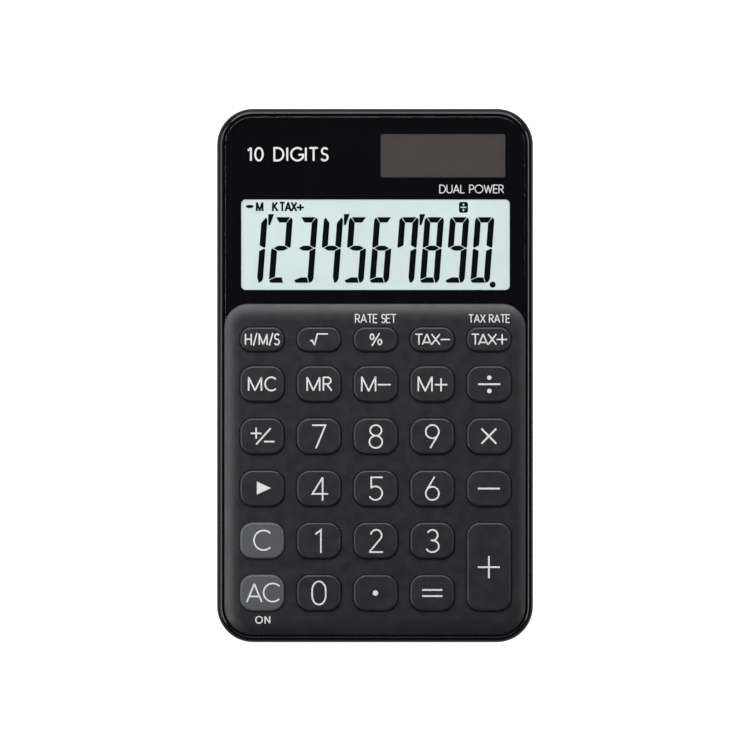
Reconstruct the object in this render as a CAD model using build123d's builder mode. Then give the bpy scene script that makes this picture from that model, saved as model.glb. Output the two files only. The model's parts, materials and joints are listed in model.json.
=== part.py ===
from build123d import *
import os
from math import pi, radians, tan

os.makedirs("parts", exist_ok=True)

# Pocket calculator, in millimetres. The origin is the middle of the back, where it
# rests on a table: +X to the right, +Y towards the display, +Z out through the keys.

# Outline
CASE_WIDTH = 70.0
CASE_LENGTH = 118.2
CASE_CORNER = 8.0
RIM = 1.2  # width of the rim seen from the front

# Heights, from the back upwards
FLOOR_TOP = 1.0
BOARD_BOTTOM = 2.0
BOARD_TOP = 2.8
PARTING = 3.6  # where the two shells meet
MAT_TOP = 3.4
DECK_BOTTOM = 4.5
DECK_TOP = 5.2
LEDGE_BOTTOM = 4.95
LEDGE_TOP = 5.65
MASK_BOTTOM = 5.3
WINDOW_BOTTOM = 5.35
WINDOW_TOP = 6.3
PANEL_BOTTOM = 5.75
PANEL_EDGE = 6.65  # top of the panel at its rolled edge
PANEL_TOP = 7.15
RIM_TOP = 6.75
KEY_BOTTOM = 5.0
KEY_TOP = 8.0

# Shells
REAR_INSET = 0.1
REAR_WALL = 2.0
REAR_ROUND = 2.4
FRAME_ROUND = 1.4  # wider than the rim, so the rim's top slopes all the way in
RIM_ROUND = 0.1
TONGUE_HEIGHT = 0.6
TONGUE_GAP = 0.1
LEDGE = 2.4  # width of the ledge around the keys
DECK_EDGE = 11.6  # lower edge of the deck that carries the window

# Keypad panel
PANEL_GAP = 0.35
PANEL_REACH = 15.9  # upper edge of the panel
PANEL_UPPER_CORNER = 5.3
ROLL_WIDTH = 3.4
PANEL_EDGE_ROUND = 0.2
WINDOW_CLEARANCE = 0.05
WINDOW_END_GAP = 0.25

# Window, display and solar cell
WINDOW_GAP = 0.4
WINDOW_EDGE = 11.6
WINDOW_ROUND = 0.35
VIEW = (59.5, 20.05)
VIEW_CENTRE = (0.1, 28.98)
VIEW_CORNER = 1.0
SOLAR_VIEW = (27.6, 9.6)
SOLAR_VIEW_CENTRE = (15.05, 48.7)
SOLAR_VIEW_CORNER = 0.45
TAPE_MARGIN = 0.3
SHEET_CORNER = 0.3
GLASS_WIDTH = 62.0
GLASS_SHEET = 0.55
FILM_SHEET = 0.15
GLASS_UPPER_EDGE = 40.2
FRONT_GLASS_LOWER_EDGE = 15.4
REAR_GLASS_LOWER_EDGE = 18.4
SOLAR_GLASS = (28.7, 11.2)
SOLAR_SHEET = 1.0
OPENING_MARGIN = 0.25

# Keys
COLUMN_PITCH = 12.55
COLUMN_MIDDLE = 0.1
ROW_PITCH = 11.56
ROW_ONE = 8.0
ROW_TWO = -1.87
ROW_THREE = -13.43
KEY_WIDTH = 9.9
KEY_HEIGHT = 8.1
KEY_CORNER = 2.95
SLIM_KEY_HEIGHT = 5.55
SLIM_KEY_CORNER = 2.6
KEY_CLEARANCE = 0.125
KEY_ROUND = 0.5
KEY_LIP = 0.5
KEY_LIP_HEIGHT = 0.7
KEY_WALL = 0.9
KEY_POCKET = 1.9
PLUNGER_RADIUS = 1.3

# Key mat
DOME_BASE = 2.9
DOME_TOP = 1.6
DOME_SHOULDER = 0.6
DOME_ROOM = 2.3
PILL_RADIUS = 1.2
PILL_SHEET = 0.3

# Screws
CASE_SCREW_PAIRS = ((31.2, 43.0), (31.2, 13.3), (29.95, -54.05))
CASE_BOSS_TOP = 2.6
CASE_SCREW_TIP = 4.8
BOARD_SCREW_TIP = 4.9

# Battery
BATTERY_SPOT = (-19.0, 48.5)
BATTERY_RADIUS = 5.8
CAN_HEIGHT = 2.65
CAP_RADIUS = 4.4
CAP_HEIGHT = 0.4
CAN_ROUND = 0.4
CAN_SHOULDER_ROUND = 0.25
CAP_ROUND = 0.2
CONTACT_SHEET = 0.15
CONTACT_WIDTH = 3.0

# Leads and solder
LEAD_RADIUS = 0.35
SOLDER_SIZE = 1.4
SOLDER_HEIGHT = 0.85
SOLDER_CORNER = 0.3
BEND_SHARE = 0.45  # of the shorter run that a bend takes up

# Places worked out from the above
COLUMNS = [COLUMN_MIDDLE + COLUMN_PITCH * step for step in (-2, -1, 0, 1, 2)]
ROWS = [ROW_ONE, ROW_TWO] + [ROW_THREE - ROW_PITCH * step for step in range(4)]
BOARD_SCREW_PAIRS = (
    (1.5 * COLUMN_PITCH, (ROWS[1] + ROWS[2]) / 2),
    (1.5 * COLUMN_PITCH, (ROWS[3] + ROWS[4]) / 2),
    (0.5 * COLUMN_PITCH, (ROWS[4] + ROWS[5]) / 2),
)
CASE_SCREW_SPOTS = [(side * x, y) for x, y in CASE_SCREW_PAIRS for side in (-1, 1)]
BOARD_SCREW_SPOTS = [
    (COLUMN_MIDDLE + side * x, y) for x, y in BOARD_SCREW_PAIRS for side in (-1, 1)
]
GLASS_TOP = DECK_TOP - FILM_SHEET
SPLIT_TOP = GLASS_TOP - GLASS_SHEET  # plane between the two glasses
REAR_FILM_TOP = SPLIT_TOP - GLASS_SHEET
HOLDER_TOP = REAR_FILM_TOP - FILM_SHEET
HOLDER_SHEET = 0.7
CELL_BOTTOM = DECK_TOP - SOLAR_SHEET
BATTERY_BOTTOM = FLOOR_TOP + CONTACT_SHEET

# Name, column, row and rows spanned by each key
KEYS = [
    ("key_hours_minutes_seconds", 0, 0, 1),
    ("key_square_root", 1, 0, 1),
    ("key_percent", 2, 0, 1),
    ("key_tax_minus", 3, 0, 1),
    ("key_tax_plus", 4, 0, 1),
    ("key_memory_clear", 0, 1, 1),
    ("key_memory_recall", 1, 1, 1),
    ("key_memory_minus", 2, 1, 1),
    ("key_memory_plus", 3, 1, 1),
    ("key_divide", 4, 1, 1),
    ("key_change_sign", 0, 2, 1),
    ("key_7", 1, 2, 1),
    ("key_8", 2, 2, 1),
    ("key_9", 3, 2, 1),
    ("key_multiply", 4, 2, 1),
    ("key_backspace", 0, 3, 1),
    ("key_4", 1, 3, 1),
    ("key_5", 2, 3, 1),
    ("key_6", 3, 3, 1),
    ("key_minus", 4, 3, 1),
    ("key_clear", 0, 4, 1),
    ("key_1", 1, 4, 1),
    ("key_2", 2, 4, 1),
    ("key_3", 3, 4, 1),
    ("key_plus", 4, 4, 2),
    ("key_all_clear", 0, 5, 1),
    ("key_0", 1, 5, 1),
    ("key_decimal_point", 2, 5, 1),
    ("key_equals", 3, 5, 1),
]


def save(builder, name):
    """Label a finished piece and write its file."""
    builder.part.label = name
    export_step(builder.part, f"parts/{name}.step")


def case_outline(inset, mode=Mode.ADD):
    """Draw the case's plan shape in the open sketch, moved in by inset."""
    RectangleRounded(CASE_WIDTH - 2 * inset, CASE_LENGTH - 2 * inset, CASE_CORNER - inset, mode=mode)


def keep_above(y):
    """Cut the open sketch off below the line at y."""
    with Locations((0, y)):
        Rectangle(CASE_WIDTH, CASE_LENGTH, align=(Align.CENTER, Align.MAX), mode=Mode.SUBTRACT)


def keep_below(y):
    """Cut the open sketch off above the line at y."""
    with Locations((0, y)):
        Rectangle(CASE_WIDTH, CASE_LENGTH, align=(Align.CENTER, Align.MIN), mode=Mode.SUBTRACT)


def view_shape(margin, mode=Mode.ADD):
    """Draw the display's view and the solar cell's view, grown by margin."""
    with Locations(VIEW_CENTRE):
        RectangleRounded(VIEW[0] + 2 * margin, VIEW[1] + 2 * margin, VIEW_CORNER + margin, mode=mode)
    with Locations(SOLAR_VIEW_CENTRE):
        RectangleRounded(
            SOLAR_VIEW[0] + 2 * margin, SOLAR_VIEW[1] + 2 * margin, SOLAR_VIEW_CORNER + margin, mode=mode
        )


def span(lower, upper, width, mode=Mode.ADD):
    """Draw a rectangle centred on X = 0 between two heights of the plan."""
    with Locations((0, (lower + upper) / 2)):
        Rectangle(width, upper - lower, mode=mode)


def key_size(row, rows_spanned):
    """Plan height and corner radius of a key."""
    if row == 0:
        return SLIM_KEY_HEIGHT, SLIM_KEY_CORNER
    return KEY_HEIGHT + (rows_spanned - 1) * ROW_PITCH, KEY_CORNER


def key_centre(column, row, rows_spanned):
    """Plan position of a key's middle."""
    return COLUMNS[column], ROWS[row] - (rows_spanned - 1) * ROW_PITCH / 2


def key_shapes(margin, mode=Mode.ADD):
    """Draw every key's plan shape in the open sketch, grown by margin."""
    for _, column, row, rows_spanned in KEYS:
        height, corner = key_size(row, rows_spanned)
        with Locations(key_centre(column, row, rows_spanned)):
            RectangleRounded(KEY_WIDTH + 2 * margin, height + 2 * margin, corner + margin, mode=mode)


def dome_spots():
    """Plan positions of the domes: one for each row that a key spans."""
    return [
        (COLUMNS[column], ROWS[row + step])
        for _, column, row, rows_spanned in KEYS
        for step in range(rows_spanned)
    ]


# Rear case: a shallow tray with rounded back edges, ribs under the board and display,
# a round well for the battery and six screw posts recessed from the back.
SCREW_POST_RADIUS = 2.4
RECESS_RADIUS = 1.7
RECESS_DEPTH = 1.3
SCREW_WAY_RADIUS = 1.0
BOARD_POST_RADIUS = 1.2
WELL_RADIUS = 6.0
WELL_WALL = 0.9
WELL_TOP = 3.9
WELL_SLOT = 3.6
WALL_BITE = 0.5  # how far the screw posts run into the wall
BOARD_REST_CENTRE = -21.8
BOARD_REST_PITCH = 24.0
RIB_CENTRE = 29.0
RIB_COLUMN_PITCH = 18.0
RIB_ROW_PITCH = 12.0
RIB = (10.0, 0.9)
LABEL_FIELD = (44.0, 18.0)
LABEL_CENTRE = (0, 22.0)
LABEL_CORNER = 1.5
LABEL_DEPTH = 0.2

with BuildPart() as rear_case:
    with BuildSketch(Plane.XY):
        case_outline(REAR_INSET)
    extrude(amount=PARTING)
    fillet(rear_case.faces().sort_by(Axis.Z)[0].edges(), radius=REAR_ROUND)
    with BuildSketch(Plane.XY.offset(FLOOR_TOP)):
        case_outline(REAR_WALL)
    extrude(amount=PARTING - FLOOR_TOP, mode=Mode.SUBTRACT)
    # tongue that enters the upper shell
    with BuildSketch(Plane.XY.offset(PARTING)):
        case_outline(RIM + TONGUE_GAP)
        case_outline(REAR_WALL, mode=Mode.SUBTRACT)
    extrude(amount=TONGUE_HEIGHT)
    # screw posts
    with BuildSketch(Plane.XY.offset(FLOOR_TOP)):
        with Locations(*CASE_SCREW_SPOTS):
            Circle(SCREW_POST_RADIUS)
        case_outline(REAR_WALL - WALL_BITE, mode=Mode.INTERSECT)
    extrude(amount=CASE_BOSS_TOP - FLOOR_TOP)
    # rests for the board
    with BuildSketch(Plane.XY.offset(FLOOR_TOP)):
        with Locations((0, BOARD_REST_CENTRE)):
            with GridLocations(3 * COLUMN_PITCH, BOARD_REST_PITCH, 2, 3):
                Circle(BOARD_POST_RADIUS)
    extrude(amount=BOARD_BOTTOM - FLOOR_TOP)
    # ribs that press the display holder up, with ways between them for the leads
    with BuildSketch(Plane.XY.offset(FLOOR_TOP)):
        with Locations((0, RIB_CENTRE)):
            with GridLocations(RIB_COLUMN_PITCH, RIB_ROW_PITCH, 3, 2):
                Rectangle(*RIB)
    extrude(amount=HOLDER_TOP - HOLDER_SHEET - FLOOR_TOP)
    # battery well
    with BuildSketch(Plane.XY.offset(FLOOR_TOP)):
        with Locations(BATTERY_SPOT):
            Circle(WELL_RADIUS + WELL_WALL)
            Circle(WELL_RADIUS, mode=Mode.SUBTRACT)
            Rectangle(3 * WELL_RADIUS, WELL_SLOT, mode=Mode.SUBTRACT)
    extrude(amount=WELL_TOP - FLOOR_TOP)
    # screw recesses and ways through
    with BuildSketch(Plane.XY):
        with Locations(*CASE_SCREW_SPOTS):
            Circle(RECESS_RADIUS)
    extrude(amount=RECESS_DEPTH, mode=Mode.SUBTRACT)
    with BuildSketch(Plane.XY):
        with Locations(*CASE_SCREW_SPOTS):
            Circle(SCREW_WAY_RADIUS)
    extrude(amount=CASE_BOSS_TOP, mode=Mode.SUBTRACT)
    # shallow field on the back for a rating label
    with BuildSketch(Plane.XY):
        with Locations(LABEL_CENTRE):
            RectangleRounded(*LABEL_FIELD, LABEL_CORNER)
    extrude(amount=LABEL_DEPTH, mode=Mode.SUBTRACT)
save(rear_case, "rear_case")

# Front frame: the rim, a deck under the window with openings for the display and the
# solar cell, a ledge around the keys, and the posts that take the case screws.
FRAME_POST_RADIUS = 1.7
PILOT_RADIUS = 0.9
TIP_ROOM = 0.1  # past the tip of a screw

with BuildPart() as front_frame:
    with BuildSketch(Plane.XY.offset(PARTING)):
        case_outline(0)
    extrude(amount=RIM_TOP - PARTING)
    fillet(front_frame.faces().sort_by(Axis.Z)[-1].edges(), radius=FRAME_ROUND)
    with BuildSketch(Plane.XY.offset(PARTING)):
        case_outline(RIM)
    extrude(amount=RIM_TOP - PARTING, mode=Mode.SUBTRACT)
    fillet(front_frame.edges().group_by(Axis.Z)[-1], radius=RIM_ROUND)
    # deck
    with BuildSketch(Plane.XY.offset(DECK_BOTTOM)):
        case_outline(RIM)
        keep_above(DECK_EDGE)
        span(
            FRONT_GLASS_LOWER_EDGE - OPENING_MARGIN,
            GLASS_UPPER_EDGE + OPENING_MARGIN,
            GLASS_WIDTH + 2 * OPENING_MARGIN,
            mode=Mode.SUBTRACT,
        )
        with Locations(SOLAR_VIEW_CENTRE):
            Rectangle(
                SOLAR_GLASS[0] + 2 * OPENING_MARGIN, SOLAR_GLASS[1] + 2 * OPENING_MARGIN, mode=Mode.SUBTRACT
            )
    extrude(amount=DECK_TOP - DECK_BOTTOM)
    # ledge
    with BuildSketch(Plane.XY.offset(LEDGE_BOTTOM)):
        case_outline(RIM)
        case_outline(RIM + LEDGE, mode=Mode.SUBTRACT)
        keep_below(DECK_EDGE)
    extrude(amount=LEDGE_TOP - LEDGE_BOTTOM)
    # posts, kept inside the rim
    with BuildSketch(Plane.XY.offset(CASE_BOSS_TOP)):
        with Locations(*CASE_SCREW_SPOTS):
            Circle(FRAME_POST_RADIUS)
    extrude(amount=DECK_TOP - CASE_BOSS_TOP)
    with BuildSketch(Plane.XY.offset(CASE_BOSS_TOP)):
        with Locations(*CASE_SCREW_SPOTS):
            Circle(PILOT_RADIUS)
    extrude(amount=CASE_SCREW_TIP + TIP_ROOM - CASE_BOSS_TOP, mode=Mode.SUBTRACT)
save(front_frame, "front_frame")

# Keypad panel: raised plate with rolled edges, an opening for each key and six posts
# underneath that the board is screwed to. Its upper strip lies over the window.
BOARD_BOSS_RADIUS = 1.6
BOARD_PILOT_RADIUS = 0.65
ROLL_DROP = PANEL_TOP - PANEL_EDGE
ROLL_ARC = (ROLL_WIDTH**2 + ROLL_DROP**2) / (2 * ROLL_DROP)
CUT_MARGIN = 0.5  # how far the roll's cutter stands clear of the panel

with BuildPart() as keypad_panel:
    with BuildSketch(Plane.XY.offset(PANEL_BOTTOM)) as panel_plan:
        case_outline(RIM + PANEL_GAP)
        keep_below(PANEL_REACH)
        fillet(panel_plan.vertices().group_by(Axis.Y)[-1], radius=PANEL_UPPER_CORNER)
    extrude(amount=PANEL_TOP - PANEL_BOTTOM)
    # the roll, cut along the panel's upper outline
    roll_sag = ROLL_ARC - (ROLL_ARC**2 - (ROLL_WIDTH / 2) ** 2) ** 0.5
    roll_path = keypad_panel.faces().sort_by(Axis.Z)[-1].outer_wire()
    outward = (roll_path % 0).cross(Vector(0, 0, 1))
    if outward.dot(roll_path @ 0) < 0:
        outward = outward * -1
    with BuildSketch(Plane(roll_path @ 0, x_dir=outward, z_dir=outward.cross(Vector(0, 0, 1)))) as roll:
        with BuildLine():
            roll_arc = ThreePointArc(
                (-PANEL_EDGE_ROUND - ROLL_WIDTH, 0),
                (-PANEL_EDGE_ROUND - ROLL_WIDTH / 2, -roll_sag),
                (-PANEL_EDGE_ROUND, -ROLL_DROP),
            )
            edge_arc = TangentArc(roll_arc @ 1, (0, -ROLL_DROP - PANEL_EDGE_ROUND), tangent=roll_arc % 1)
            Polyline(
                edge_arc @ 1,
                (CUT_MARGIN, -ROLL_DROP - PANEL_EDGE_ROUND),
                (CUT_MARGIN, CUT_MARGIN),
                (-PANEL_EDGE_ROUND - ROLL_WIDTH, CUT_MARGIN),
                roll_arc @ 0,
            )
        make_face()
    sweep(path=roll_path, mode=Mode.SUBTRACT)
    # room for the window under the upper strip
    with BuildSketch(Plane.XY.offset(PANEL_BOTTOM)):
        case_outline(0)
        keep_above(WINDOW_EDGE - WINDOW_END_GAP)
    extrude(amount=WINDOW_TOP + WINDOW_CLEARANCE - PANEL_BOTTOM, mode=Mode.SUBTRACT)
    # key openings
    with BuildSketch(Plane.XY.offset(PANEL_BOTTOM)):
        key_shapes(KEY_CLEARANCE)
    extrude(amount=PANEL_TOP - PANEL_BOTTOM, mode=Mode.SUBTRACT)
    # posts for the board
    with BuildSketch(Plane.XY.offset(BOARD_TOP)):
        with Locations(*BOARD_SCREW_SPOTS):
            Circle(BOARD_BOSS_RADIUS)
    extrude(amount=PANEL_BOTTOM - BOARD_TOP)
    with BuildSketch(Plane.XY.offset(BOARD_TOP)):
        with Locations(*BOARD_SCREW_SPOTS):
            Circle(BOARD_PILOT_RADIUS)
    extrude(amount=BOARD_SCREW_TIP + TIP_ROOM - BOARD_TOP, mode=Mode.SUBTRACT)
save(keypad_panel, "keypad_panel")

# Adhesive under the keypad panel, on the ledge.
with BuildPart() as panel_tape:
    with BuildSketch(Plane.XY.offset(LEDGE_TOP)):
        case_outline(RIM + PANEL_GAP + TAPE_MARGIN)
        case_outline(RIM + LEDGE, mode=Mode.SUBTRACT)
        keep_below(DECK_EDGE)
    extrude(amount=PANEL_BOTTOM - LEDGE_TOP)
save(panel_tape, "panel_tape")

# Window: clear sheet with softened front edges, its lower edge hidden by the panel.
with BuildPart() as display_window:
    with BuildSketch(Plane.XY.offset(WINDOW_BOTTOM)):
        case_outline(RIM + WINDOW_GAP)
        keep_above(WINDOW_EDGE)
    extrude(amount=WINDOW_TOP - WINDOW_BOTTOM)
    fillet(display_window.faces().sort_by(Axis.Z)[-1].edges(), radius=WINDOW_ROUND)
save(display_window, "display_window")

# Black printed film behind the window, open over the display and the solar cell.
with BuildPart() as window_mask:
    with BuildSketch(Plane.XY.offset(MASK_BOTTOM)):
        case_outline(RIM + WINDOW_GAP)
        keep_above(WINDOW_EDGE)
        view_shape(0, mode=Mode.SUBTRACT)
    extrude(amount=WINDOW_BOTTOM - MASK_BOTTOM)
save(window_mask, "window_mask")

# Adhesive between the film and the deck.
with BuildPart() as window_tape:
    with BuildSketch(Plane.XY.offset(DECK_TOP)):
        case_outline(RIM + WINDOW_GAP + TAPE_MARGIN)
        keep_above(WINDOW_EDGE + TAPE_MARGIN)
        view_shape(TAPE_MARGIN, mode=Mode.SUBTRACT)
    extrude(amount=MASK_BOTTOM - DECK_TOP)
save(window_tape, "window_tape")


# Display: two glasses between two films. The front glass reaches further down, and the
# ribbon is bonded to the back of that reach.
def sheet(name, width, lower, upper, bottom, top):
    """Make one flat rectangular sheet of the display."""
    with BuildPart() as piece:
        with BuildSketch(Plane((VIEW_CENTRE[0], (lower + upper) / 2, bottom))):
            RectangleRounded(width, upper - lower, SHEET_CORNER)
        extrude(amount=top - bottom)
    save(piece, name)


FILM_WIDTH = 61.0
FILM_LOWER_EDGE = 18.2
REAR_FILM_LOWER_EDGE = 18.7
FILM_UPPER_EDGE = 39.9
sheet("lcd_front_polarizer", FILM_WIDTH, FILM_LOWER_EDGE, FILM_UPPER_EDGE, GLASS_TOP, DECK_TOP)
sheet("lcd_front_glass", GLASS_WIDTH, FRONT_GLASS_LOWER_EDGE, GLASS_UPPER_EDGE, SPLIT_TOP, GLASS_TOP)
sheet("lcd_rear_glass", GLASS_WIDTH, REAR_GLASS_LOWER_EDGE, GLASS_UPPER_EDGE, REAR_FILM_TOP, SPLIT_TOP)
sheet("lcd_rear_polarizer", FILM_WIDTH, REAR_FILM_LOWER_EDGE, FILM_UPPER_EDGE, HOLDER_TOP, REAR_FILM_TOP)

# Display holder: tray with a low wall on three sides.
HOLDER_GAP = 0.15
HOLDER_WALL = 0.5
HOLDER_WALL_TOP = 4.4
HOLDER_WINDOW = (15.0, 7.0)
HOLDER_WINDOW_CORNER = 1.0
HOLDER_WINDOW_PITCH = 19.0
inner_width = GLASS_WIDTH + 2 * HOLDER_GAP
outer_width = inner_width + 2 * HOLDER_WALL
inner_upper = GLASS_UPPER_EDGE + HOLDER_GAP
outer_upper = inner_upper + HOLDER_WALL

with BuildPart() as lcd_holder:
    with BuildSketch(Plane.XY.offset(HOLDER_TOP - HOLDER_SHEET)):
        with Locations((VIEW_CENTRE[0], 0)):
            span(REAR_GLASS_LOWER_EDGE, outer_upper, outer_width)
    extrude(amount=HOLDER_WALL_TOP - HOLDER_TOP + HOLDER_SHEET)
    with BuildSketch(Plane.XY.offset(HOLDER_TOP)):
        with Locations((VIEW_CENTRE[0], 0)):
            span(REAR_GLASS_LOWER_EDGE, inner_upper, inner_width)
    extrude(amount=HOLDER_WALL_TOP - HOLDER_TOP, mode=Mode.SUBTRACT)
    # weight-saving windows in the tray's floor, between the lines where the ribs press
    with BuildSketch(Plane.XY.offset(HOLDER_TOP - HOLDER_SHEET)):
        with Locations(*[(step * HOLDER_WINDOW_PITCH, RIB_CENTRE) for step in (-1, 0, 1)]):
            RectangleRounded(*HOLDER_WINDOW, HOLDER_WINDOW_CORNER)
    extrude(amount=HOLDER_SHEET, mode=Mode.SUBTRACT)
save(lcd_holder, "lcd_holder")

# Ribbon from the board's front up to the back of the front glass.
RIBBON_WIDTH = 54.0
RIBBON_SHEET = 0.15
RIBBON_BEND = 1.0
RIBBON_REACH = (11.6, 13.2, 15.9, 17.9)  # along Y: bond, bend up, bend back, bond
ribbon_low = BOARD_TOP + RIBBON_SHEET / 2
ribbon_high = SPLIT_TOP - RIBBON_SHEET / 2

with BuildPart() as lcd_ribbon:
    with BuildSketch(Plane.YZ.offset(-RIBBON_WIDTH / 2)):
        with BuildLine():
            FilletPolyline(
                *zip(RIBBON_REACH, (ribbon_low, ribbon_low, ribbon_high, ribbon_high)), radius=RIBBON_BEND
            )
        trace(line_width=RIBBON_SHEET)
    extrude(amount=RIBBON_WIDTH)
save(lcd_ribbon, "lcd_ribbon")

# Solar cell, straight behind its own opening in the film.
with BuildPart() as solar_cell:
    with BuildSketch(Plane((*SOLAR_VIEW_CENTRE, CELL_BOTTOM))):
        RectangleRounded(*SOLAR_GLASS, SHEET_CORNER)
    extrude(amount=SOLAR_SHEET)
save(solar_cell, "solar_cell")


# Keys: hollow caps with a lip that stops them under the panel and a plunger on the dome.
def make_key(name, column, row, rows_spanned):
    """Make the cap of one key in its place at rest."""
    x, y = key_centre(column, row, rows_spanned)
    height, corner = key_size(row, rows_spanned)
    base = Plane((x, y, KEY_BOTTOM))
    with BuildPart() as key:
        with BuildSketch(base):
            RectangleRounded(KEY_WIDTH, height, corner)
        extrude(amount=KEY_TOP - KEY_BOTTOM)
        fillet(key.faces().sort_by(Axis.Z)[-1].edges(), radius=KEY_ROUND)
        with BuildSketch(base):
            RectangleRounded(KEY_WIDTH + 2 * KEY_LIP, height + 2 * KEY_LIP, corner + KEY_LIP)
        extrude(amount=KEY_LIP_HEIGHT)
        with BuildSketch(base):
            RectangleRounded(KEY_WIDTH - 2 * KEY_WALL, height - 2 * KEY_WALL, corner - KEY_WALL)
            with GridLocations(COLUMN_PITCH, ROW_PITCH, 1, rows_spanned):
                Circle(PLUNGER_RADIUS, mode=Mode.SUBTRACT)
        extrude(amount=KEY_POCKET, mode=Mode.SUBTRACT)
    save(key, name)


for key_row in KEYS:
    make_key(*key_row)

# Key mat: thin silicone sheet with a hollow dome for each plunger.
MAT_CORNER = 5.0
BOARD_HALF_WIDTH = 30.6
BOARD_LOWER_EDGE = -53.0
MAT_UPPER_EDGE = 11.0
BOSS_HOLE_RADIUS = 2.1
PILL_ROOM = 1.4
dome_ceiling = 3.9
pocket_waist = dome_ceiling - DOME_SHOULDER

with BuildPart() as key_mat:
    with BuildSketch(Plane.XY.offset(BOARD_TOP)) as mat_plan:
        span(BOARD_LOWER_EDGE, MAT_UPPER_EDGE, 2 * BOARD_HALF_WIDTH)
        fillet(mat_plan.vertices().group_by(Axis.Y)[0], radius=MAT_CORNER)
        with Locations(*BOARD_SCREW_SPOTS):
            Circle(BOSS_HOLE_RADIUS, mode=Mode.SUBTRACT)
    extrude(amount=MAT_TOP - BOARD_TOP)
    for x, y in dome_spots():
        with Locations((x, y, MAT_TOP)):
            Cone(DOME_BASE, DOME_TOP, DOME_SHOULDER, align=(Align.CENTER, Align.CENTER, Align.MIN))
            Cylinder(DOME_TOP, KEY_BOTTOM - MAT_TOP, align=(Align.CENTER, Align.CENTER, Align.MIN))
        with Locations((x, y, BOARD_TOP)):
            Cylinder(
                DOME_ROOM,
                pocket_waist - BOARD_TOP,
                align=(Align.CENTER, Align.CENTER, Align.MIN),
                mode=Mode.SUBTRACT,
            )
        with Locations((x, y, pocket_waist)):
            Cone(
                DOME_ROOM,
                PILL_ROOM,
                dome_ceiling - pocket_waist,
                align=(Align.CENTER, Align.CENTER, Align.MIN),
                mode=Mode.SUBTRACT,
            )
save(key_mat, "key_mat")

# Carbon pills under the domes' ceilings.
with BuildPart() as contact_pills:
    with BuildSketch(Plane.XY.offset(dome_ceiling - PILL_SHEET)):
        with Locations(*dome_spots()):
            Circle(PILL_RADIUS)
    extrude(amount=PILL_SHEET)
save(contact_pills, "contact_pills")

# Circuit board, with a tongue at the top that takes the ribbon.
TONGUE_HALF_WIDTH = 28.0
TONGUE_EDGE = 13.6
BOARD_UPPER_EDGE = 11.0
BOARD_SCREW_WAY = 0.8

with BuildPart() as circuit_board:
    with BuildSketch(Plane.XY.offset(BOARD_BOTTOM)) as board_plan:
        span(BOARD_LOWER_EDGE, BOARD_UPPER_EDGE, 2 * BOARD_HALF_WIDTH)
        fillet(board_plan.vertices().group_by(Axis.Y)[0], radius=MAT_CORNER)
        span(0, TONGUE_EDGE, 2 * TONGUE_HALF_WIDTH)
        with Locations(*BOARD_SCREW_SPOTS):
            Circle(BOARD_SCREW_WAY, mode=Mode.SUBTRACT)
    extrude(amount=BOARD_TOP - BOARD_BOTTOM)
save(circuit_board, "circuit_board")

# Chip under a flat dome of epoxy, on the board's back.
CHIP_SPOT = (0.0, -14.0)
CHIP_HEIGHT = 0.8
CHIP_PLAN = (11.0, 10.0, 4.0)  # length, width and corner
CHIP_ROUND = 0.6

with BuildPart() as processor_cap:
    with BuildSketch(Plane((*CHIP_SPOT, BOARD_BOTTOM - CHIP_HEIGHT))):
        RectangleRounded(*CHIP_PLAN)
    extrude(amount=CHIP_HEIGHT)
    fillet(processor_cap.faces().sort_by(Axis.Z)[0].edges(), radius=CHIP_ROUND)
save(processor_cap, "processor_cap")

# Chip capacitors and resistors: spots, then length, width and height
CAPACITOR_SPOTS = [(-9.5, -10.5), (-9.5, -17.5), (9.5, -10.5)]
CAPACITOR = (3.2, 1.6, 0.85)
RESISTOR_SPOTS = [(9.5, -15.0), (9.5, -17.5), (-9.5, -14.0), (0.0, -6.5)]
RESISTOR = (2.0, 1.25, 0.5)
BLOCK_CHAMFER = 0.08


def small_parts(name, spots, length, width, height):
    """Make one node of identical small blocks soldered to the board's back."""
    with BuildPart() as piece:
        with BuildSketch(Plane.XY.offset(BOARD_BOTTOM - height)):
            with Locations(*spots):
                Rectangle(length, width)
        extrude(amount=height)
        chamfer(piece.faces().group_by(Axis.Z)[0].edges(), length=BLOCK_CHAMFER)
    save(piece, name)


small_parts("capacitors", CAPACITOR_SPOTS, *CAPACITOR)
small_parts("resistors", RESISTOR_SPOTS, *RESISTOR)


# Screws. The shares are of a head's radius or height, or of a shank's radius.
HEAD_ROUND_SHARE = 0.25
TIP_SHARE = 0.6
RECESS_LENGTH_SHARE = 1.2
RECESS_WIDTH_SHARE = 0.28
RECESS_DEPTH_SHARE = 0.55


def screws(name, spots, head_bottom, head_top, head_radius, tip, shank_radius):
    """Make one node of identical cross-recessed screws that point up."""
    with BuildPart() as piece:
        with BuildSketch(Plane.XY.offset(head_bottom)):
            with Locations(*spots):
                Circle(head_radius)
        extrude(amount=head_top - head_bottom)
        fillet(piece.faces().group_by(Axis.Z)[0].edges(), radius=HEAD_ROUND_SHARE * head_radius)
        with BuildSketch(Plane.XY.offset(head_top)):
            with Locations(*spots):
                Circle(shank_radius)
        extrude(amount=tip - head_top)
        chamfer(piece.faces().group_by(Axis.Z)[-1].edges(), length=TIP_SHARE * shank_radius)
        with BuildSketch(Plane.XY.offset(head_bottom)):
            with Locations(*spots):
                Rectangle(RECESS_LENGTH_SHARE * head_radius, RECESS_WIDTH_SHARE * head_radius)
                Rectangle(RECESS_WIDTH_SHARE * head_radius, RECESS_LENGTH_SHARE * head_radius)
        extrude(amount=RECESS_DEPTH_SHARE * (head_top - head_bottom), mode=Mode.SUBTRACT)
    save(piece, name)


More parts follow.
